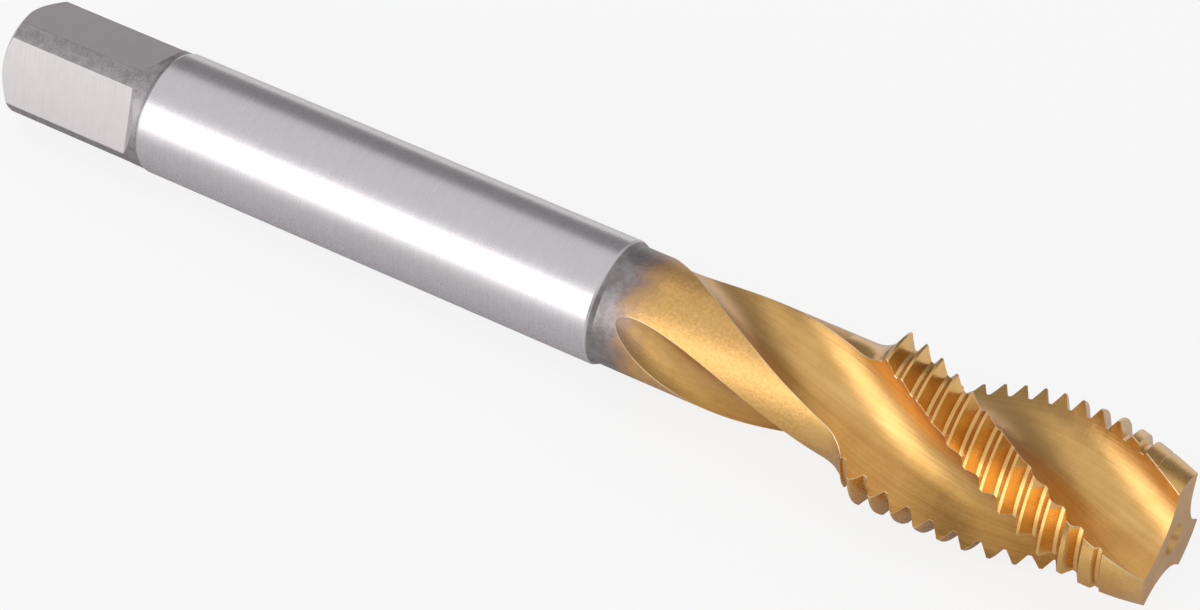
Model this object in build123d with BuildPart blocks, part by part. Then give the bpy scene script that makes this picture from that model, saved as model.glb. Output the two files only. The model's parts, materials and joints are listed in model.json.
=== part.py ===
from build123d import *
from math import atan, ceil, cos, pi, radians, sin, sqrt, tan
import os

# A spiral-fluted machine tap, M12 x 1.5, in one piece of steel.
#
# It is cut the way the real one is: a turned blank, a square on the driving end, three
# spiral flutes and then a thread across the lands that the flutes leave. It is worked out
# upright: a "station" is a height above the driving end, and a "turn" is an angle about
# the axis, from a line square to one of the driving flats. At the end it is laid down.
# Lengths are in millimetres and angles in degrees.

# Driving end: a square with a sloping run-out, on a turned diameter just under the shank's
total_length = 90.0
end_face_diameter = 7.0
end_chamfer = 0.67
tang_diameter = 8.82
across_flats = 7.1
flat_length = 11.0
runout_slope = 45.0

# Ground shank with a shallow lead-in, and the neck that the flutes run out in
shank_diameter = 9.0
lead_in_angle = 10.0
shank_start = 12.52
shank_end = 48.9
neck_start = 49.4
neck_diameter = 8.5
neck_end = 66.9

# Thread: 60 degree form with flats at crest and root, tapered at the tip to start the cut
thread_diameter = 12.0
thread_start = 69.1
pitch = 1.5
root_diameter = 10.16
root_flat = 0.25
flank_angle = 30.0
groove_crossing = 67.28
lead_taper = 14.0
tip_diameter = 9.2

# Flutes: a radial cutting face, a round bottom and a hollow heel, on a right-hand spiral
flute_count = 3
flute_lead = 62.4
face_turn = -35.0
face_foot_radius = 4.32
flute_bottom = (2.65, -0.9)
flute_back = (2.8, 2.0)
heel_foot_radius = 5.67
heel_turn = 47.0
wheel_radius = 60.0
wheel_full_depth = 64.2
wheel_clear = 46.0
section_spacing = 2.0

# Centre holes that the blank turned on: pilot and mouth diameters, and depth
tang_centre = (1.6, 3.35, 3.6)
tip_centre = (1.0, 2.3, 2.4)
centre_angle = 30.0
drill_point = 59.0

# Lying on a bench it bears on a corner of the square, the shank and a thread crest
turn_facing_down = 19.9
rise_to_tip = 1.291

# Worked out from the sizes above
shank_radius = shank_diameter / 2
tang_radius = tang_diameter / 2
lead_in_start = shank_start - (shank_radius - tang_radius) / tan(radians(lead_in_angle))
neck_radius = neck_diameter / 2
thread_radius = thread_diameter / 2
root_radius = root_diameter / 2
tip_radius = tip_diameter / 2
lead_start = total_length - (thread_radius - tip_radius) / tan(radians(lead_taper))
spiral_rate = 360 / flute_lead
spiral_angle = atan(2 * pi * (neck_radius + flute_bottom[0]) / 2 / flute_lead)


def at_turn(radius, turn):
    """A point of a cross-section, from its radius and turn."""
    return (radius * cos(radians(turn)), radius * sin(radians(turn)))


def flute_turn(station):
    """The turn of the first flute, which is square to a driving flat at the tip."""
    return (station - total_length) * spiral_rate


def across(station):
    """The plane across the axis at a station, turned with the first flute."""
    return Plane(Location((0, 0, station), (0, 0, flute_turn(station))))


def centre_outline(centre, face, inward):
    """A centre hole's outline, from its mouth on an end face to its point on the axis."""
    pilot, mouth, depth = centre
    cone = (mouth - pilot) / 2 / tan(radians(centre_angle))
    point = pilot / 2 / tan(radians(drill_point))
    return [
        (mouth / 2, face),
        (pilot / 2, face + inward * cone),
        (pilot / 2, face + inward * (depth - point)),
        (0, face + inward * depth),
    ]


# Turned blank, from half of its outline
with BuildPart() as blank:
    with BuildSketch(Plane.XZ):
        with BuildLine():
            tang_hole = Polyline(*centre_outline(tang_centre, 0, 1))
            shank_side = Polyline(
                tang_hole @ 0,
                (end_face_diameter / 2, 0),
                (tang_radius, end_chamfer),
                (tang_radius, lead_in_start),
                (shank_radius, shank_start),
                (shank_radius, shank_end),
                (neck_radius, neck_start),
                (neck_radius, neck_end),
            )
            thread_back = TangentArc(
                shank_side @ 1, (thread_radius, thread_start), tangent=shank_side % 1
            )
            tip_hole = Polyline(*centre_outline(tip_centre, total_length, -1))
            Polyline(
                thread_back @ 1,
                (thread_radius, lead_start),
                (tip_radius, total_length),
                tip_hole @ 0,
            )
            Line(tang_hole @ 1, tip_hole @ 1)
        make_face()
    revolve(axis=Axis.Z)

# Cutter for one driving flat, with its sloping run-out
with BuildPart() as flat_cutter:
    flat_depth = shank_radius
    outside = across_flats / 2 + flat_depth
    runout = flat_depth * tan(radians(runout_slope))
    with BuildSketch(Plane.XZ):
        with BuildLine():
            Polyline(
                (across_flats / 2, -flat_depth),
                (across_flats / 2, flat_length),
                (outside, flat_length + runout),
                (outside, -flat_depth),
                close=True,
            )
        make_face()
    extrude(amount=shank_diameter, both=True)


def wheel_lift(station):
    """How far the grinding wheel's round rim has risen out of the flute at a station."""
    if station >= wheel_full_depth:
        return 0.0
    travel = (wheel_full_depth - station) / cos(spiral_angle)
    return wheel_radius - sqrt(wheel_radius**2 - travel**2)


def flute_section(station):
    """One flute's cross-section at a station, closed well outside the blank."""
    rise = wheel_lift(station)
    outside = thread_diameter * 0.75

    def raised(point):
        return (point[0] + rise, point[1])

    with BuildSketch(across(station)) as section:
        with BuildLine():
            face = Line(
                raised(at_turn(outside, face_turn)), raised(at_turn(face_foot_radius, face_turn))
            )
            bottom = TangentArc(face @ 1, raised(flute_bottom), tangent=face % 1)
            back = TangentArc(bottom @ 1, raised(flute_back), tangent=bottom % 1)
            heel = TangentArc(
                back @ 1, raised(at_turn(heel_foot_radius, heel_turn)), tangent=back % 1
            )
            side = Line(heel @ 1, raised(at_turn(outside, heel_turn)))
            Line(side @ 1, face @ 0)
        make_face()
    return section.sketch


# Cutter for one flute, lofted through its turned cross-sections
with BuildPart() as flute_cutter:
    steps = ceil((total_length - wheel_clear) / section_spacing) + 1
    loft(sections=[flute_section(wheel_clear + step * section_spacing) for step in range(steps + 1)])

# Cutter for the thread's groove, from the middle of one flute to the middle of the next
groove_rise = (360 / flute_count) / (360 / pitch - spiral_rate)
groove_turn = groove_rise * 360 / pitch
with BuildPart() as groove_cutter:
    depth = thread_radius - root_radius
    clearance = depth / 10
    mouth = root_flat + 2 * (depth + clearance) * tan(radians(flank_angle))
    overlap = groove_rise / 50
    with BuildLine():
        thread_line = Helix(pitch, groove_rise + overlap, thread_radius)
    with BuildSketch(Plane(origin=thread_line @ 0, x_dir=(1, 0, 0), z_dir=thread_line % 0)):
        with BuildLine():
            Polyline(
                (-depth, -root_flat / 2),
                (-depth, root_flat / 2),
                (clearance, mouth / 2),
                (clearance, -mouth / 2),
                close=True,
            )
        make_face()
    sweep(path=thread_line, is_frenet=True)

# The grooves climb from behind the thread to where the taper is as low as their root
last_groove = total_length - (root_radius - tip_radius) / tan(radians(lead_taper))
groove_count = ceil((last_groove - groove_crossing) / groove_rise) + 1
groove_places = [
    Location(
        (0, 0, groove_crossing + groove * groove_rise),
        (0, 0, flute_turn(groove_crossing) + groove * groove_turn),
    )
    for groove in range(groove_count)
]

with BuildPart() as upright_tap:
    add(blank.part)
    with PolarLocations(0, 4):
        add(flat_cutter.part, mode=Mode.SUBTRACT)
    with PolarLocations(0, flute_count):
        add(flute_cutter.part, mode=Mode.SUBTRACT)
    with Locations(*groove_places):
        add(groove_cutter.part, mode=Mode.SUBTRACT)

# Laid down with its tip towards +X, then set on the bench over the origin
lying = Plane(Location((0, 0, 0), (0, 90 - rise_to_tip, -turn_facing_down)))
with BuildPart(lying) as laid_tap:
    add(upright_tap.part)
box = laid_tap.part.bounding_box()
with BuildPart(Plane((-box.center().X, -box.center().Y, -box.min.Z))) as thread_tap:
    add(laid_tap.part)

thread_tap.part.label = "thread_tap"
os.makedirs("parts", exist_ok=True)
export_step(thread_tap.part, "parts/thread_tap.step")

print("solids", len(thread_tap.part.solids()), "valid", thread_tap.part.is_valid)
print("volume mm3", round(thread_tap.part.volume, 1), "faces", len(thread_tap.part.faces()))
print("driving end on the axis, mm", -box.center().X, -box.center().Y, -box.min.Z)
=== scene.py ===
"""Looks for a spiral-fluted thread tap: a ground steel shank, and gold-coated flutes and thread."""
import json
import math

import bmesh
import bpy
import numpy as np
from mathutils import Matrix, Vector


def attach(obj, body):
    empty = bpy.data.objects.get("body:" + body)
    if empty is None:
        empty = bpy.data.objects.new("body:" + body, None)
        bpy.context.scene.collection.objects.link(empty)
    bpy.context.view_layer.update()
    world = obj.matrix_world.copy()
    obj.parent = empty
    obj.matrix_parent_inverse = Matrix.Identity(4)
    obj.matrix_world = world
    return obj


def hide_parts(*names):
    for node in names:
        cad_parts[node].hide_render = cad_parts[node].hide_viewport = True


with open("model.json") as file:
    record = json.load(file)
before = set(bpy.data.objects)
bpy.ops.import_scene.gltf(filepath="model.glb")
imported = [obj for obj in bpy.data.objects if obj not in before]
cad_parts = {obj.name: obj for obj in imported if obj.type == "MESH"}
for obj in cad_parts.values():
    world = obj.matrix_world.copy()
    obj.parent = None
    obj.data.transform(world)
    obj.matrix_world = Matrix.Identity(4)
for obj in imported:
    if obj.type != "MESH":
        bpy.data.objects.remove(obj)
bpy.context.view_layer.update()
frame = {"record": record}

# Sizes of the tap, in millimetres and degrees. A station is a distance along the axis from
# the driving end. A turn is an angle about the axis, from a line square to the flat that
# faces down, and it is right-handed towards the tip. The sizes are those of the part's
# source, except that LEAD_IN_START makes the collar's chamfer shorter, FACE_HEADING hooks the
# cutting face, WHEEL_RADIUS is less, and EDGE_BREAK takes the flutes' edges off.
MM = 0.001
LENGTH = 90.0

# Driving end: its chamfered face, its square and the collar
END_FACE_RADIUS = 3.5
CHAMFER_END = 0.67
TANG_RADIUS = 4.41
HALF_FLATS = 3.55
FLAT_END = 11.0
LEAD_IN_START = 12.22

# Shank and neck
SHANK_START = 12.52
SHANK_RADIUS = 4.5
SHANK_END = 48.9
NECK_START = 49.4
NECK_RADIUS = 4.25
NECK_END = 66.9

# Thread: the first groove crosses the first flute's middle line at GROOVE_CROSSING
THREAD_BACK = 69.1
THREAD_RADIUS = 6.0
ROOT_RADIUS = 5.08
PITCH = 1.5
HALF_ROOT_FLAT = 0.125
GROOVE_CROSSING = 67.28
TIP_RADIUS = 4.6
FLANK_RISE = math.tan(math.radians(30.0))
LEAD_SLOPE = math.tan(math.radians(14.0))
LEAD_START = LENGTH - (THREAD_RADIUS - TIP_RADIUS) / LEAD_SLOPE

# Flutes: points of the section are radii and turns, or complex numbers across the axis from
# the flute's middle line. The section's straight ends run on for BEYOND.
FLUTES = 3
THIRD = 360.0 / FLUTES
FLUTE_LEAD = 62.4
SPIRAL_RATE = 360.0 / FLUTE_LEAD
FACE_TURN = -35.0
FACE_HEADING = 158.0
FLUTE_BOTTOM = 2.65 - 0.9j
FLUTE_BACK = 2.8 + 2.0j
HEEL_FOOT_RADIUS = 5.67
HEEL_TURN = 47.0
BEYOND = 4.0
WHEEL_RADIUS = 57.0
FULL_DEPTH = 64.2
SPIRAL_ANGLE = math.atan(math.pi * (NECK_RADIUS + FLUTE_BOTTOM.real) / FLUTE_LEAD)
GROOVE_TURN = (GROOVE_CROSSING - LENGTH) * SPIRAL_RATE
EDGE_BREAK = 0.04

# Centre holes: pilot and mouth diameters, and depth. The mouth is a 60 degree cone, and the
# pilot ends in a 118 degree drill point.
TIP_HOLE = (1.0, 2.3, 2.4)
TANG_HOLE = (1.6, 3.35, 3.6)
MOUTH_SLOPE = math.tan(math.radians(30.0))
POINT_SLOPE = math.tan(math.radians(59.0))

# How finely the surface is divided. The neck's rows and the thread's meet at the join. The
# grooves are counted from the first, and the rows with a phase at the thread's back lie closer.
FLUTE_STEPS = 40
LAND_STEPS = 28
CORNER_STEPS = 6
NECK_ROWS = 64
SHANK_ROWS = 24
JOIN = 65.5
CURVE_POINTS = 4000
GROOVES = (-4, 18)
BACK_PHASES = (-1.2, 2.2)
BACK_DIVISIONS = 5

# Repeated calculations: how many rounds each takes, and the station that one starts from
HALVINGS = 50
STATION_ROUNDS = 8
CROSSING_ROUNDS = 5
FIRST_GUESS = 75.0

# Points this close become one, and edges shorter than a sliver go, in millimetres
WELD_GAP = 0.0006
SLIVER = 0.0002


def mount(name):
    """One of the record's mounts."""
    return next(m for m in frame["record"]["mounts"] if m["name"] == name)


# Where the tap lies: its axis is the shank's, towards the tip, and turn 0 is the normal of
# the lower flat
axis = -Vector(mount("shank")["axis"]).normalized()
turn_0 = Vector(mount("drive_flat_lower")["axis"]).normalized()
turn_90 = axis.cross(turn_0)
driving_end = Vector(mount("shank")["pos_m"]) - axis * MM * (SHANK_START + SHANK_END) / 2


def points_at(station, radius, turn):
    """Points in metres: along the axis to the station, then out by the radius at the turn."""
    angle = np.radians(turn)
    across = np.multiply(radius, np.cos(angle)), np.multiply(radius, np.sin(angle))
    parts = (np.asarray(station, float) + 0 * across[0], *across)
    moves = [part[..., None] * np.array(v) for part, v in zip(parts, (axis, turn_0, turn_90))]
    return np.array(driving_end) + MM * sum(moves)


# ---------------------------------------------------------------- the surface's formulas


def blank_radius(station):
    """The turned blank ahead of the neck: an arc up to the thread, a cylinder and the lead taper."""
    rise, run = THREAD_RADIUS - NECK_RADIUS, THREAD_BACK - NECK_END
    arc = (rise**2 + run**2) / (2 * rise)
    along = np.clip(station - NECK_END, 0, run)
    back = NECK_RADIUS + arc - np.sqrt(arc**2 - along**2)
    return np.minimum(back, THREAD_RADIUS - LEAD_SLOPE * np.maximum(station - LEAD_START, 0))


def thread_phase(station, turn):
    """How far along the axis a place is from the first groove's middle line, which is a helix."""
    return station - GROOVE_CROSSING - PITCH * (turn - GROOVE_TURN) / 360


def outer_radius(station, turn):
    """The lesser of the blank and the thread, whose flanks rise from a flat root."""
    off_middle = np.abs((thread_phase(station, turn) + PITCH / 2) % PITCH - PITCH / 2)
    thread = ROOT_RADIUS + np.maximum(off_middle - HALF_ROOT_FLAT, 0) / FLANK_RISE
    return np.minimum(blank_radius(station), thread)


def wheel_lift(station):
    """The rim of the wheel that ground the flute leaves it along an arc of the wheel's radius."""
    travel = np.maximum(FULL_DEPTH - station, 0) / math.cos(SPIRAL_ANGLE)
    return WHEEL_RADIUS - np.sqrt(WHEEL_RADIUS**2 - travel**2)


def arc_on(points, end, direction, count):
    """Adds an arc that leaves the last point along a direction, and gives its direction at the end.

    The angle from that direction to the chord is half of the angle that the arc turns by.
    """
    start = points[-1]
    half = np.angle((end - start) / direction)
    length = abs(end - start) * half / np.sin(half)
    swept = np.exp(2j * half * np.linspace(0, 1, count + 1)[1:])
    points.extend(start + direction * length * (swept - 1) / (2j * half))
    return direction * np.exp(2j * half)


def flute_outline():
    """One flute's section: in over the hooked face, round the bottom, and out over the heel."""
    edge = THREAD_RADIUS * np.exp(1j * np.radians(FACE_TURN))
    inward = np.exp(1j * np.radians(FACE_HEADING))
    heel_out = np.exp(1j * np.radians(HEEL_TURN))
    count = CURVE_POINTS // 4
    points = list(edge - inward * np.linspace(BEYOND, 0, count))
    heading = arc_on(points, FLUTE_BOTTOM, inward, count)
    heading = arc_on(points, FLUTE_BACK, heading, count)
    arc_on(points, HEEL_FOOT_RADIUS * heel_out, heading, count)
    outward = np.linspace(HEEL_FOOT_RADIUS, HEEL_FOOT_RADIUS + BEYOND, count + 1)[1:]
    points.extend(heel_out * outward)
    points = np.array(points)
    length = np.concatenate([[0], np.cumsum(np.abs(np.diff(points)))])
    return length, points


outline_length, outline = flute_outline()


def on_outline(length, lift):
    """Radius and turn, from the flute's middle line, of places along its section once lifted."""
    real = np.interp(length, outline_length, outline.real) + lift
    imag = np.interp(length, outline_length, outline.imag)
    return np.hypot(real, imag), np.degrees(np.arctan2(imag, real))


def crossing(radius, lift, heel):
    """Where the flute's section meets a circle: the length along it, on the face or heel side.

    It lies between the last point inside the circle on that side and the next one, where the
    gap to the circle, taken as a straight line, is nothing. With no point inside, it is the
    point nearest to the axis.
    """
    radius, lift = np.broadcast_arrays(radius, lift)
    shape, radius, lift = radius.shape, radius.ravel(), lift.ravel()
    gap = np.abs(outline[None] + lift[:, None]) - radius[:, None]
    lowest = gap.argmin(1)
    steps = np.arange(len(outline))
    inside = gap < 0
    if heel:
        found = np.where(inside, steps, -1).max(1)
        found = np.where(found < 0, lowest, found)
        other = np.minimum(found + 1, len(outline) - 1)
    else:
        found = np.where(inside, steps, len(outline)).min(1)
        found = np.where(found == len(outline), lowest, found)
        other = np.maximum(found - 1, 0)
    rows = np.arange(len(radius))
    low, high = gap[rows, found], gap[rows, other]
    share = np.where(inside.any(1), low / np.where(low == high, 1, low - high), 0)
    at, beside = outline_length[found], outline_length[other]
    return (at + share * (beside - at)).reshape(shape)


# ---------------------------------------------------------------- grids of points


def nose_station():
    """Where the lifted flute first cuts the neck, by halving the gap between two stations."""
    low, high = SHANK_END, FULL_DEPTH
    for _ in range(HALVINGS):
        middle = (low + high) / 2
        cuts = np.abs(outline + wheel_lift(middle)).min() < NECK_RADIUS
        low, high = (low, middle) if cuts else (middle, high)
    return high


def flute_columns(face, heel):
    """Evenly spaced places along the flute's section between its broken edges, and the break's
    width, which is an eighth of the section at most."""
    edge = np.minimum(EDGE_BREAK, (heel - face) / 8)
    return face + edge + (heel - face - 2 * edge) * np.linspace(0, 1, FLUTE_STEPS + 1), edge


def neck_grid():
    """Rows square to the axis. Their stations go by the square of the row's share, so they are
    closest together at the flutes' nose, where each flute opens between two lands."""
    start = nose_station()
    station = start + (JOIN - start) * np.linspace(0, 1, NECK_ROWS) ** 2
    lift = wheel_lift(station)
    face = crossing(NECK_RADIUS, lift, heel=False)
    heel = crossing(NECK_RADIUS, lift, heel=True)
    face[0] = heel[0] = (face[0] + heel[0]) / 2
    face, heel = face[:, None], heel[:, None]
    length, edge = flute_columns(face, heel)
    radius, turn = on_outline(length, lift[:, None])
    edge_turn = np.degrees(edge / NECK_RADIUS)
    heel_turn = on_outline(heel, lift[:, None])[1] + edge_turn
    face_turn = on_outline(face, lift[:, None])[1] - edge_turn + THIRD
    land_turn = heel_turn + (face_turn - heel_turn) * np.linspace(0, 1, LAND_STEPS + 1)
    third_turn = np.hstack([turn, land_turn])
    third_radius = np.hstack([radius, np.full_like(land_turn, NECK_RADIUS)])
    turns = [third_turn + THIRD * k for k in range(FLUTES)] + [third_turn[:, :1] + 360]
    turns = np.hstack(turns) + (station[:, None] - LENGTH) * SPIRAL_RATE
    radii = np.hstack([third_radius] * FLUTES + [third_radius[:, :1]])
    return np.broadcast_to(station[:, None], turns.shape), radii, turns


def thread_rows():
    """The helical rows: each one's phase, and how much of the flank's width is added to it.

    Rows follow both edges of the root, the middle of each flank, both edges of the crest
    and three lines between them. At the thread's back each gap is divided further. Last
    comes each row's nearest undivided row.
    """
    half, across = HALF_ROOT_FLAT, PITCH - 2 * HALF_ROOT_FLAT
    pattern = [(-half, 0), (half, 0), (half, 0.5), (half, 1)]
    pattern += [(half + across * q, 1 - 2 * q) for q in (0.25, 0.5, 0.75)]
    pattern += [(PITCH - half, -1), (PITCH - half, -0.5)]
    grooves = np.arange(*GROOVES)
    phase = (grooves[:, None] * PITCH + np.array(pattern)[:, 0]).ravel()
    flank = np.tile(np.array(pattern)[:, 1], len(grooves))
    rows = np.arange(len(phase))
    back = (phase > BACK_PHASES[0]) & (phase < BACK_PHASES[1])
    extra = (rows[back][:, None] + np.arange(1, BACK_DIVISIONS) / BACK_DIVISIONS).ravel()
    places = np.sort(np.concatenate([rows, extra]))
    nearest = np.searchsorted(places, np.round(places))
    return np.interp(places, rows, phase), np.interp(places, rows, flank), nearest


def solve_station(phase, flank, turn_off):
    """The station where a row meets a line that turns with the flutes, held within the grid's ends.

    In each line, the rows nearest to the thread's back and to the taper's start move onto them.
    """
    per_turn = PITCH / 360
    station = np.full(np.broadcast(phase, turn_off).shape, FIRST_GUESS)
    for _ in range(STATION_ROUNDS):
        depth = THREAD_RADIUS - LEAD_SLOPE * np.maximum(station - LEAD_START, 0) - ROOT_RADIUS
        offset = phase + flank * np.maximum(depth, 0) * FLANK_RISE
        known = offset + GROOVE_CROSSING + per_turn * (turn_off - LENGTH * SPIRAL_RATE - GROOVE_TURN)
        station = known / (1 - per_turn * SPIRAL_RATE)
        station = np.clip(station, JOIN, LENGTH)
    for edge in (THREAD_BACK, LEAD_START):
        nearest = np.abs(station - edge).argmin(0)[None]
        np.put_along_axis(station, nearest, edge, 0)
    return np.maximum.accumulate(station, 0)


def thread_grid():
    """Rows along the thread's helix, and columns along the flutes and lands.

    Where a row crosses a flute's edge is found in rounds, because the edge's turn depends on
    the radius there, and the radius depends on the turn.
    """
    phase, flank, nearest = thread_rows()
    phase, flank = phase[:, None], flank[:, None]
    thirds = np.arange(FLUTES + 1)[None] * THIRD
    found = {}
    for heel, start in ((False, FACE_TURN), (True, HEEL_TURN)):
        turn_off = np.full((len(phase), FLUTES + 1), start) + thirds
        for _ in range(CROSSING_ROUNDS):
            station = solve_station(phase, flank, turn_off)
            turn = turn_off + (station - LENGTH) * SPIRAL_RATE
            length = crossing(outer_radius(station, turn), 0.0, heel)
            turn_off = on_outline(length, 0.0)[1] + thirds
        found[heel] = length, turn_off - thirds
    face, face_turn = found[False]
    heel, heel_turn = found[True]
    stations, radii, turns = [], [], []
    edge_turn = math.degrees(EDGE_BREAK / NECK_RADIUS)
    for k in range(FLUTES + 1):
        length = flute_columns(face[:, k : k + 1], heel[:, k : k + 1])[0]
        radius, turn_off = on_outline(length, 0.0)
        if k < FLUTES:
            share = np.linspace(0, 1, LAND_STEPS + 1)
            start = heel_turn[:, k : k + 1] + edge_turn
            end = face_turn[:, k + 1 : k + 2] + THIRD - edge_turn
            turn_off = np.hstack([turn_off, start + (end - start) * share])
        else:
            # the closing column is the first one again, a pitch further on
            turn_off = turn_off[:, :1]
        turn_off = turn_off + THIRD * k
        station = solve_station(phase, flank, turn_off)
        turn = turn_off + (station - LENGTH) * SPIRAL_RATE
        outer = outer_radius(station, turn)
        flute_radius = radius[:, : turn_off.shape[1]]
        radius = np.hstack([flute_radius, outer[:, FLUTE_STEPS + 1 :]])
        stations.append(station)
        radii.append(np.minimum(radius, outer))
        turns.append(turn)
    grid = [np.hstack(parts) for parts in (stations, radii, turns)]
    for part in grid:
        # at the seam each divided row moves to its nearest undivided one, so both sides match
        part[:, [0, -1]] = part[nearest][:, [0, -1]]
    return grid


def closed(station, radius, turn):
    """The same grid with its first column again at the end, a full turn on."""
    return tuple(np.hstack([a, a[:, :1] + b]) for a, b in ((station, 0), (radius, 0), (turn, 360)))


def tang_columns():
    """Turns round the driving end: each flat divided evenly, and each corner between two flats."""
    half = math.degrees(math.acos(HALF_FLATS / TANG_RADIUS))
    flat_steps = FLUTES * LAND_STEPS // 4 - CORNER_STEPS
    flat = np.linspace(-half, half, flat_steps + 1)
    corner = np.linspace(half, 90 - half, CORNER_STEPS + 1)[1:-1]
    quarter = np.concatenate([flat, corner])
    return (quarter + 90 * np.arange(4)[:, None]).ravel()


def shank_grid(nose_turns):
    """Rows from the collar's chamfer to the flutes' nose, and the driving end's turns.

    The columns ease from the driving end's turns to the nose's over the shank. They start at
    the column from which the two fit each other best.
    """
    tang = tang_columns()
    count = len(tang)
    long_tang = np.concatenate([tang + 360 * k for k in range(-2, 3)])

    def misfit(first):
        return np.abs(long_tang[first : first + count] - nose_turns).sum()

    start = min(range(len(long_tang) - count), key=misfit)
    tang = long_tang[start : start + count]
    shank = np.linspace(SHANK_START, SHANK_END, SHANK_ROWS)
    station = np.concatenate([[LEAD_IN_START], shank, [NECK_START, nose_station()]])
    radius = np.concatenate([[TANG_RADIUS], np.full(SHANK_ROWS, SHANK_RADIUS), [NECK_RADIUS] * 2])
    share = np.clip((station - SHANK_START) / (SHANK_END - SHANK_START), 0, 1)[:, None]
    turns = tang + (nose_turns - tang) * share
    return tang, closed(*np.broadcast_arrays(station[:, None], radius[:, None], turns))


def tang_grid(tang):
    """The driving end's rows: its edge, the bow where each flat meets the end's chamfer, the two
    edges of the flats' run-out, and the collar's end."""
    off_normal = np.radians((tang + 45) % 90 - 45)
    flat_radius = np.minimum(HALF_FLATS / np.cos(off_normal), TANG_RADIUS)
    bow = CHAMFER_END * (flat_radius - END_FACE_RADIUS) / (TANG_RADIUS - END_FACE_RADIUS)
    runout = FLAT_END + np.maximum(TANG_RADIUS * np.cos(off_normal) - HALF_FLATS, 0)
    full = np.full_like(tang, TANG_RADIUS)
    station = np.array([0 * tang, bow, FLAT_END + 0 * tang, runout, LEAD_IN_START + 0 * tang])
    radius = np.array([0 * tang + END_FACE_RADIUS, flat_radius, flat_radius, full, full])
    return closed(station, radius, np.broadcast_to(tang, station.shape))


def hole_grid(hole, face, inward, rim_station, rim_radius, rim_turn, even):
    """A centre hole, from its point out to its mouth and on over the end face to the rim.

    Turns in the hole are a mix of the rim's and of evenly spaced ones, by a share.
    """
    pilot, mouth, depth = hole
    cone = (mouth - pilot) / 2 / MOUTH_SLOPE
    point = pilot / 2 / POINT_SLOPE
    spaced = np.linspace(rim_turn[0], rim_turn[-1], len(rim_turn))
    turn = rim_turn + (spaced - rim_turn) * even
    rings = [(depth, 0.0), (depth - point, pilot / 2), (cone, pilot / 2), (0.0, mouth / 2)]
    station = np.array([np.full_like(turn, face + inward * d) for d, _ in rings] + [rim_station])
    radius = np.array([np.full_like(turn, r) for _, r in rings] + [rim_radius])
    return station, radius, np.array([turn] * len(rings) + [rim_turn])


# ---------------------------------------------------------------- the tap's mesh

STEEL, NECK, LAND, FLUTE, TIP, EDGE = range(6)
SMOOTH_FINISHES = ({STEEL}, {NECK}, {LAND}, {FLUTE}, {TIP}, {EDGE}, {NECK, LAND})
SHARP_ANGLE = math.radians(9.0)


def column_kinds(flute_kind, land_kind):
    """A finish for each column of faces, over the flutes and lands in turn."""
    third = [flute_kind] * FLUTE_STEPS + [EDGE] + [land_kind] * LAND_STEPS + [EDGE]
    return np.array(third * FLUTES)


def tap_grids():
    """Every grid from the hole in the driving end to the hole in the tip, with its finishes."""
    neck = neck_grid()
    nose_turns = neck[2][0, :-1].reshape(FLUTES, -1)[:, FLUTE_STEPS + 1 : -1].ravel()
    tang, shank = shank_grid(nose_turns)
    square = tang_grid(tang)
    thread = thread_grid()
    tang_hole = hole_grid(TANG_HOLE, 0.0, 1, *(a[0] for a in square), 0.0)
    tip_hole = hole_grid(TIP_HOLE, LENGTH, -1, *(a[-1] for a in thread), 0.5)
    tip_hole = tuple(a[::-1] for a in tip_hole)
    bare = shank[0][:-1, :-1] < SHANK_END
    return [
        (tang_hole, STEEL),
        (square, STEEL),
        (shank, np.where(bare, STEEL, NECK)),
        (neck, column_kinds(FLUTE, NECK)),
        (thread, column_kinds(FLUTE, LAND)),
        (tip_hole, TIP),
    ]


def weld(mesh):
    """Joins the grids where they meet, makes triangles, and marks each edge as sharp or smooth."""
    welded = bmesh.new()
    welded.from_mesh(mesh)
    bmesh.ops.remove_doubles(welded, verts=welded.verts, dist=WELD_GAP * MM)
    bmesh.ops.dissolve_degenerate(welded, edges=welded.edges, dist=SLIVER * MM)
    bmesh.ops.triangulate(welded, faces=welded.faces, quad_method="SHORT_EDGE")
    for face in welded.faces:
        face.smooth = True
    for edge in welded.edges:
        finishes = {face.material_index for face in edge.link_faces}
        edge.smooth = finishes in SMOOTH_FINISHES and edge.calc_face_angle(0.0) < SHARP_ANGLE
    welded.to_mesh(mesh)
    welded.free()


def make_tap(materials):
    """One closed mesh from the grids. Rows run along the surface from the driving end to the
    tip, and columns turn right-handed, so faces point out."""
    points, faces, kinds, base = [], [], [], 0
    for (station, radius, turn), kind in tap_grids():
        rows, columns = turn.shape
        points.append(points_at(station, radius, turn).reshape(-1, 3))
        corner = base + np.arange(rows - 1)[:, None] * columns + np.arange(columns - 1)
        quads = np.stack([corner, corner + 1, corner + columns + 1, corner + columns], 2)
        faces.append(quads.reshape(-1, 4))
        kinds.append(np.broadcast_to(kind, (rows - 1, columns - 1)).ravel())
        base += rows * columns
    mesh = bpy.data.meshes.new("thread_tap_surface")
    mesh.from_pydata(np.concatenate(points), [], np.concatenate(faces))
    mesh.polygons.foreach_set("material_index", np.concatenate(kinds))
    for material in materials:
        mesh.materials.append(material)
    weld(mesh)
    tap = bpy.data.objects.new("tap_finish", mesh)
    bpy.context.scene.collection.objects.link(tap)
    return tap


# ---------------------------------------------------------------- shaders


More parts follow.
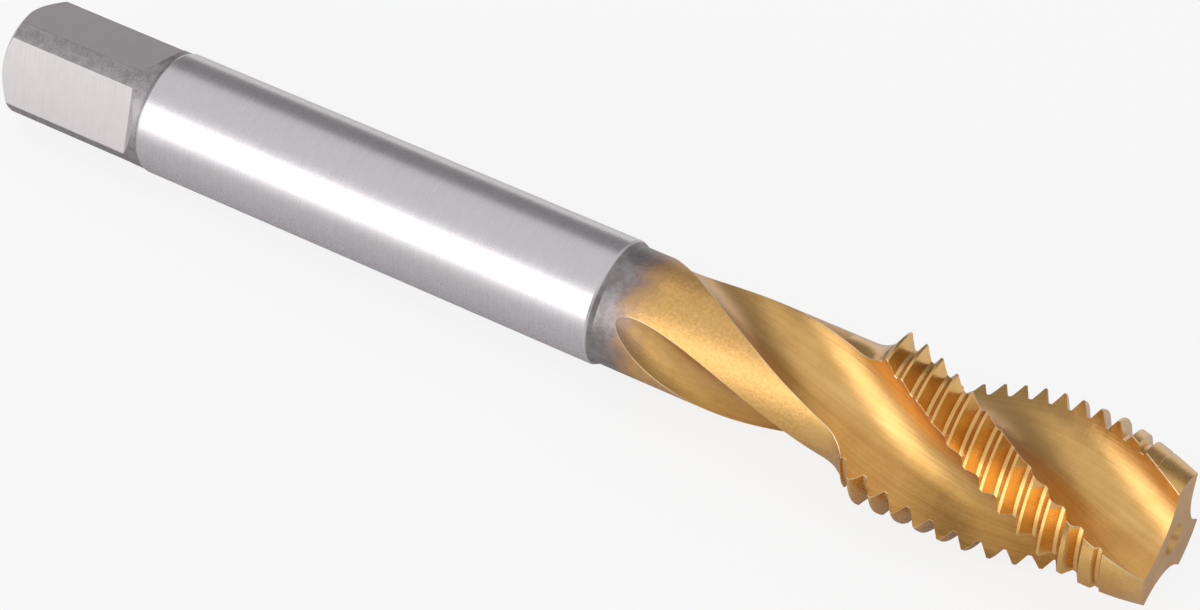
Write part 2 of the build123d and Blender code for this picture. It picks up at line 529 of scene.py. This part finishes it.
class Value:
    """A shader socket that takes part in Python arithmetic: each operator adds a Math node."""

    def __init__(self, tree, socket):
        self.tree, self.socket = tree, socket

    def math(self, operation, other, swap=False):
        """One Math node on this value and another, in either order."""
        pair = (other, self) if swap else (self, other)
        return self.tree.add("Math", {"operation": operation}, dict(enumerate(pair)))

    def __add__(self, other):
        return self.math("ADD", other)

    def __sub__(self, other):
        return self.math("SUBTRACT", other)

    def __rsub__(self, other):
        return self.math("SUBTRACT", other, swap=True)

    def __mul__(self, other):
        return self.math("MULTIPLY", other)

    __radd__, __rmul__ = __add__, __mul__


class Tree:
    """The nodes of one material or of the world."""

    def __init__(self, owner):
        owner.use_nodes = True
        self.nodes, self.links = owner.node_tree.nodes, owner.node_tree.links
        self.nodes.clear()

    def add(self, kind, settings, values, output=0):
        """Any node: its settings first, then the value or link of each socket. Gives one output."""
        node = self.nodes.new("ShaderNode" + kind)
        for name, setting in settings.items():
            setattr(node, name, setting)
        for name, value in values.items():
            if isinstance(value, Value):
                self.links.new(value.socket, node.inputs[name])
            else:
                node.inputs[name].default_value = value
        return Value(self, node.outputs[output]) if node.outputs else None

    def mix(self, share, low, high):
        """A colour between two, by a share. The Mix node's colour sockets are known by number."""
        low, high = ((*c, 1.0) if isinstance(c, tuple) else c for c in (low, high))
        return self.add("Mix", {"data_type": "RGBA"}, {0: share, 6: low, 7: high}, 2)

    def step(self, value, low, high):
        """0 below low, 1 above high, and smooth between them."""
        values = {"Value": value, "From Min": low, "From Max": high}
        return self.add("MapRange", {"interpolation_type": "SMOOTHSTEP"}, values)

    def noise(self, vector, scale, detail=2.0, roughness=0.5):
        """Fractal noise at so many features a millimetre."""
        values = {"Vector": vector, "Scale": scale, "Detail": detail, "Roughness": roughness}
        return self.add("TexNoise", {}, values)

    def stretched(self, vector, along, across):
        """A position with its axis and cross-section scaled apart, for lines ground one way."""
        values = {0: vector, 1: (along, across, across)}
        return self.add("VectorMath", {"operation": "MULTIPLY"}, values)

    def bump(self, height, strength, distance, normal=None):
        """A bump from a height of 0 to 1, over a distance in millimetres."""
        values = {"Height": height, "Strength": strength, "Distance": distance * MM}
        if normal is not None:
            values["Normal"] = normal
        return self.add("Bump", {}, values)

    def surface(self, values):
        """The metal itself, on its way to the output."""
        shader = self.add("BsdfPrincipled", {}, {"Metallic": 1.0, **values})
        self.add("OutputMaterial", {}, {"Surface": shader})


def tap_position(tree):
    """Object coordinates as station and distances across the axis, in millimetres."""
    turned = Matrix([axis, turn_0, turn_90])
    values = {
        "Vector": tree.add("TexCoord", {}, {}, 3),
        "Location": -(turned @ driving_end) / MM,
        "Rotation": turned.to_euler(),
        "Scale": (1 / MM,) * 3,
    }
    return tree.add("Mapping", {"vector_type": "POINT"}, values)


def station_of(tree, position):
    """The station alone, out of a position on the tap."""
    return tree.add("SeparateXYZ", {}, {0: position})


def untwisted(tree, position):
    """The position turned back by the flutes' spiral, so that a flute runs straight along it."""
    angle = station_of(tree, position) * -math.radians(SPIRAL_RATE)
    values = {"Vector": position, "Axis": (1.0, 0.0, 0.0), "Angle": angle}
    return tree.add("VectorRotate", {"rotation_type": "AXIS_ANGLE"}, values)


def heel_side(tree, straight):
    """1 on a flute's heel side and 0 on its face side, by the turn from its middle line."""
    parts = [tree.add("SeparateXYZ", {}, {0: straight}, i) for i in (1, 2)]
    turn = parts[1].math("ARCTAN2", parts[0]) * math.degrees(1.0) + LENGTH * SPIRAL_RATE
    turn = (turn + THIRD / 2).math("FLOORED_MODULO", THIRD) - THIRD / 2
    return tree.step(turn, *HEEL_TURNS)


def new_material(name):
    """An empty material and its tree."""
    material = bpy.data.materials.new(name)
    return material, Tree(material)


# Colours of each finish, light and dark
STEEL_LIGHT, STEEL_DARK = (0.68, 0.65, 0.665), (0.57, 0.545, 0.56)
FLAT_LIGHT, FLAT_DARK = (0.71, 0.665, 0.67), (0.60, 0.565, 0.57)
SCALE_LIGHT, SCALE_DARK = (0.40, 0.375, 0.38), (0.29, 0.27, 0.275)
TINT_LIGHT, TINT_DARK = (0.345, 0.32, 0.325), (0.245, 0.22, 0.22)
GOLD, DEEP_GOLD = (0.82, 0.51, 0.19), (0.66, 0.38, 0.12)
# Painted shade: a flute's heel side is coloured a darker gold than its face side
HEEL_SHADE_LIGHT, HEEL_SHADE_DARK = (0.74, 0.425, 0.13), (0.56, 0.29, 0.08)
# Painted highlight: the flutes' broken edges are coloured a paler, brighter gold
EDGE_HIGHLIGHT_LIGHT, EDGE_HIGHLIGHT_DARK = (0.98, 0.82, 0.56), (0.90, 0.66, 0.36)

# Where the tint turns to gold, and the coating seen at a grazing angle
BROWN = (0.46, 0.29, 0.175)
GRAZED = (0.55, 0.37, 0.28)

# Each change of finish: the place where it begins, and where it is complete
COLLAR_END = (12.36, 12.42)
BAR_SURFACE = (TANG_RADIUS - 0.04, TANG_RADIUS - 0.02)
TINT_START = (49.02, 49.12)
BROWN_START = (51.6, 53.6)
GOLD_START = (52.4, 55.2)
HEEL_TURNS = (10.0, 40.0)

# Bump distances in millimetres
STEEL_DEPTH = 0.003
GRAIN_DEPTH = 0.035
LINE_DEPTH = 0.028


def ground_steel():
    """The shank and square, with fine lines ground round the axis. The square's corners and the
    collar keep the rough bar's diameter, and are dark and mottled."""
    material, tree = new_material("ground_steel")
    position = tap_position(tree)
    station = station_of(tree, position)
    lines = tree.noise(tree.stretched(position, 14.0, 0.3), 1.0, 3.0, 0.6)
    mottle = tree.noise(position, 1.5, 5.0, 0.6)
    grain = tree.noise(position, 6.0, 3.0, 0.7)
    streak = tree.step(lines, 0.3, 0.7) * 0.5 + mottle * 0.5
    round_bar = tree.mix(streak, STEEL_DARK, STEEL_LIGHT)
    flats = tree.mix(streak, FLAT_DARK, FLAT_LIGHT)
    unground = tree.mix(tree.step(mottle * 0.6 + grain * 0.4, 0.38, 0.62), SCALE_DARK, SCALE_LIGHT)
    across = tree.add("VectorMath", {"operation": "MULTIPLY"}, {0: position, 1: (0.0, 1.0, 1.0)})
    radius = tree.add("VectorMath", {"operation": "LENGTH"}, {0: across}, 1)
    square = 1.0 - tree.step(station, *COLLAR_END)
    rough_bar = tree.step(radius, *BAR_SURFACE) * square
    colour = tree.mix(rough_bar, tree.mix(square, round_bar, flats), unground)
    normal = tree.bump(grain, 0.3, STEEL_DEPTH)
    normal = tree.bump(lines, 0.4, STEEL_DEPTH, normal)
    roughness = mottle * 0.1 + grain * 0.08 + 0.19 + square * 0.06 + rough_bar * 0.14
    tree.surface({"Base Color": colour, "Roughness": roughness, "Normal": normal})
    return material


def coated(name, speckle, lines, roughness, light=GOLD, dark=DEEP_GOLD):
    """A gold-coloured coating over a turned or ground surface. It starts in a heat-tinted band.

    speckle and lines say how strongly its grain and the flute's grinding lines show. Where lines show, the
    flute's heel side is coloured a darker gold, which is painted shade.
    """
    material, tree = new_material(name)
    position = tap_position(tree)
    station = station_of(tree, position)
    grain = tree.noise(position, 4.0, 4.0, 0.75)
    patch = tree.noise(position, 1.3, 4.0, 0.6)
    cloud = tree.noise(position, 0.5, 3.0)
    shade = tree.step(grain, 0.32, 0.68) * speckle + tree.step(cloud, 0.3, 0.7) * (1.0 - speckle)
    normal = tree.bump(grain, speckle, GRAIN_DEPTH)
    if lines:
        straight = untwisted(tree, position)
        ground = tree.noise(tree.stretched(straight, 0.06, 4.0), 1.0, 4.0, 0.7)
        normal = tree.bump(ground, lines, LINE_DEPTH, normal)
        shade = shade * 0.55 + tree.step(ground, 0.35, 0.65) * 0.45
        # painted shade: the heel side of each flute gets the darker heel colours
        side = heel_side(tree, straight)
        light, dark = tree.mix(side, light, HEEL_SHADE_LIGHT), tree.mix(side, dark, HEEL_SHADE_DARK)
    gold = tree.mix(shade, dark, light)
    facing = tree.add("LayerWeight", {}, {"Blend": 0.5}, 1)
    gold = tree.mix(facing.math("POWER", 4.0) * 0.8, gold, GRAZED)
    tint = tree.mix(tree.step(patch * 0.8 + grain * 0.2, 0.36, 0.64), TINT_DARK, TINT_LIGHT)
    tint = tree.mix(tree.step(station, *TINT_START), STEEL_LIGHT, tint)
    reach = station + cloud * 2.2 + patch * 0.8
    tint = tree.mix(tree.step(reach, *BROWN_START), tint, BROWN)
    colour = tree.mix(tree.step(reach, *GOLD_START), tint, gold)
    tree.surface({"Base Color": colour, "Roughness": grain * 0.14 + roughness, "Normal": normal})
    return material


# In the order of the finishes' numbers. A coating's own numbers are its speckle, its lines and
# its roughness.
materials = [
    ground_steel(),
    coated("coated_neck", 0.9, 0.0, 0.34),
    coated("coated_land", 0.15, 0.0, 0.2),
    coated("coated_flute", 0.3, 0.7, 0.26),
    coated("coated_tip", 0.4, 0.0, 0.34),
    # the broken edges' colour is a painted highlight
    coated("coated_edge_painted_highlight", 0.1, 0.0, 0.3, EDGE_HIGHLIGHT_LIGHT, EDGE_HIGHLIGHT_DARK),
]
tap = make_tap(materials)
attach(tap, "root")
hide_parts("thread_tap")


# ---------------------------------------------------------------- floor, lamps and camera


FLOOR_COLOUR = (0.79, 0.79, 0.795, 1.0)
FLOOR_HALF = 3.0

# How much of its glow the floor shows to the camera and in reflections. Reflections show it more and more
# between these two distances in metres from the tap's middle line, so near the tap the metal reflects a
# darker floor: a painted shadow.
SEEN_GLOW = 0.84
REFLECTED_GLOW = 0.95
REFLECTED_FROM = (0.004, 0.05)


def make_floor():
    """A wide pale floor under the tap, which keeps the tap's shadow."""
    material, tree = new_material("pale_floor")
    camera, glossy, transmission = (
        tree.add("LightPath", {}, {}, "Is %s Ray" % ray) for ray in ("Camera", "Glossy", "Transmission")
    )
    diffuse = tree.add("BsdfDiffuse", {}, {"Color": FLOOR_COLOUR})
    glow = tree.add("Emission", {}, {"Color": (1.0, 1.0, 1.0, 1.0), "Strength": 1.0})
    place = tree.add("TexCoord", {}, {}, 3)
    off_ends = tree.add("VectorMath", {"operation": "ABSOLUTE"}, {0: place})
    half_tap = (LENGTH / 2 * MM, 0.0, 0.0)
    off_ends = tree.add("VectorMath", {"operation": "SUBTRACT"}, {0: off_ends, 1: half_tap})
    off_ends = tree.add("VectorMath", {"operation": "MAXIMUM"}, {0: off_ends, 1: (0.0, 0.0, 0.0)})
    distance = tree.add("VectorMath", {"operation": "LENGTH"}, {0: off_ends}, 1)
    # painted shadow: reflections lose the floor's glow near the tap
    away = tree.step(distance, *REFLECTED_FROM)
    share = camera * SEEN_GLOW + (glossy + transmission) * away * REFLECTED_GLOW
    shader = tree.add("MixShader", {}, {0: share, 1: diffuse, 2: glow})
    tree.add("OutputMaterial", {}, {"Surface": shader})
    mesh = bpy.data.meshes.new("floor")
    corners = [(x * FLOOR_HALF, y * FLOOR_HALF, 0) for x, y in ((-1, -1), (1, -1), (1, 1), (-1, 1))]
    mesh.from_pydata(corners, [], [(0, 1, 2, 3)])
    mesh.materials.append(material)
    floor = bpy.data.objects.new("floor", mesh)
    bpy.context.scene.collection.objects.link(floor)


def make_lamp(name, azimuth, elevation, distance, width, height, radiance):
    """A soft rectangular lamp that faces the tap, at an azimuth from +Y towards +X. Its power is
    its radiance times pi and its area."""
    lamp = bpy.data.lights.new(name, "AREA")
    lamp.shape = "RECTANGLE"
    lamp.size, lamp.size_y = width, height
    lamp.energy = radiance * math.pi * width * height
    holder = bpy.data.objects.new(name, lamp)
    bpy.context.scene.collection.objects.link(holder)
    round_tap, up = math.radians(azimuth), math.radians(elevation)
    level = distance * math.cos(up)
    place = Vector((level * math.sin(round_tap), level * math.cos(round_tap), distance * math.sin(up)))
    holder.location = place
    holder.rotation_euler = (-place).to_track_quat("-Z", "Y").to_euler()
    holder.visible_camera = False


SURROUND_COLOUR = (0.29, 0.28, 0.29, 1.0)


def make_world():
    """An even dim surround."""
    world = bpy.data.worlds.new("surround")
    bpy.context.scene.world = world
    tree = Tree(world)
    glow = tree.add("Background", {}, {"Color": SURROUND_COLOUR, "Strength": 1.0})
    tree.add("OutputWorld", {}, {"Surface": glow})


# The camera's place as a station, radius and turn, the point it aims at, its roll in degrees,
# its lens and sensor in millimetres, and how near it sees in metres
CAMERA_STATION = 140.49
CAMERA_DISTANCE = 240.49
CAMERA_TURN = -119.5
AIM_STATION = 47.865
AIM_OFFSET = 0.61
CAMERA_ROLL = 1.895
LENS = 114.69
SENSOR_WIDTH = 36.0
NEAREST_SEEN = 0.01


def make_camera():
    """A camera beyond the tip and above it, aimed near the middle of the tap."""
    place = Vector(points_at(CAMERA_STATION, CAMERA_DISTANCE, CAMERA_TURN))
    aim = Vector(points_at(AIM_STATION, AIM_OFFSET, CAMERA_TURN + 90))
    camera = bpy.data.cameras.new("camera")
    camera.lens = LENS
    camera.sensor_width = SENSOR_WIDTH
    camera.clip_start = NEAREST_SEEN
    holder = bpy.data.objects.new("camera", camera)
    bpy.context.scene.collection.objects.link(holder)
    holder.location = place
    roll = Matrix.Rotation(math.radians(CAMERA_ROLL), 3, "Z")
    holder.rotation_euler = ((aim - place).to_track_quat("-Z", "Y").to_matrix() @ roll).to_euler()
    bpy.context.scene.camera = holder


make_floor()
make_world()
make_lamp("overhead", azimuth=153.0, elevation=87.0, distance=0.6, width=1.5, height=1.5, radiance=0.56)
make_lamp("front_left", azimuth=-150.0, elevation=20.0, distance=0.8, width=1.0, height=0.58, radiance=1.9)
make_camera()
bpy.context.scene.view_settings.view_transform = "Standard"
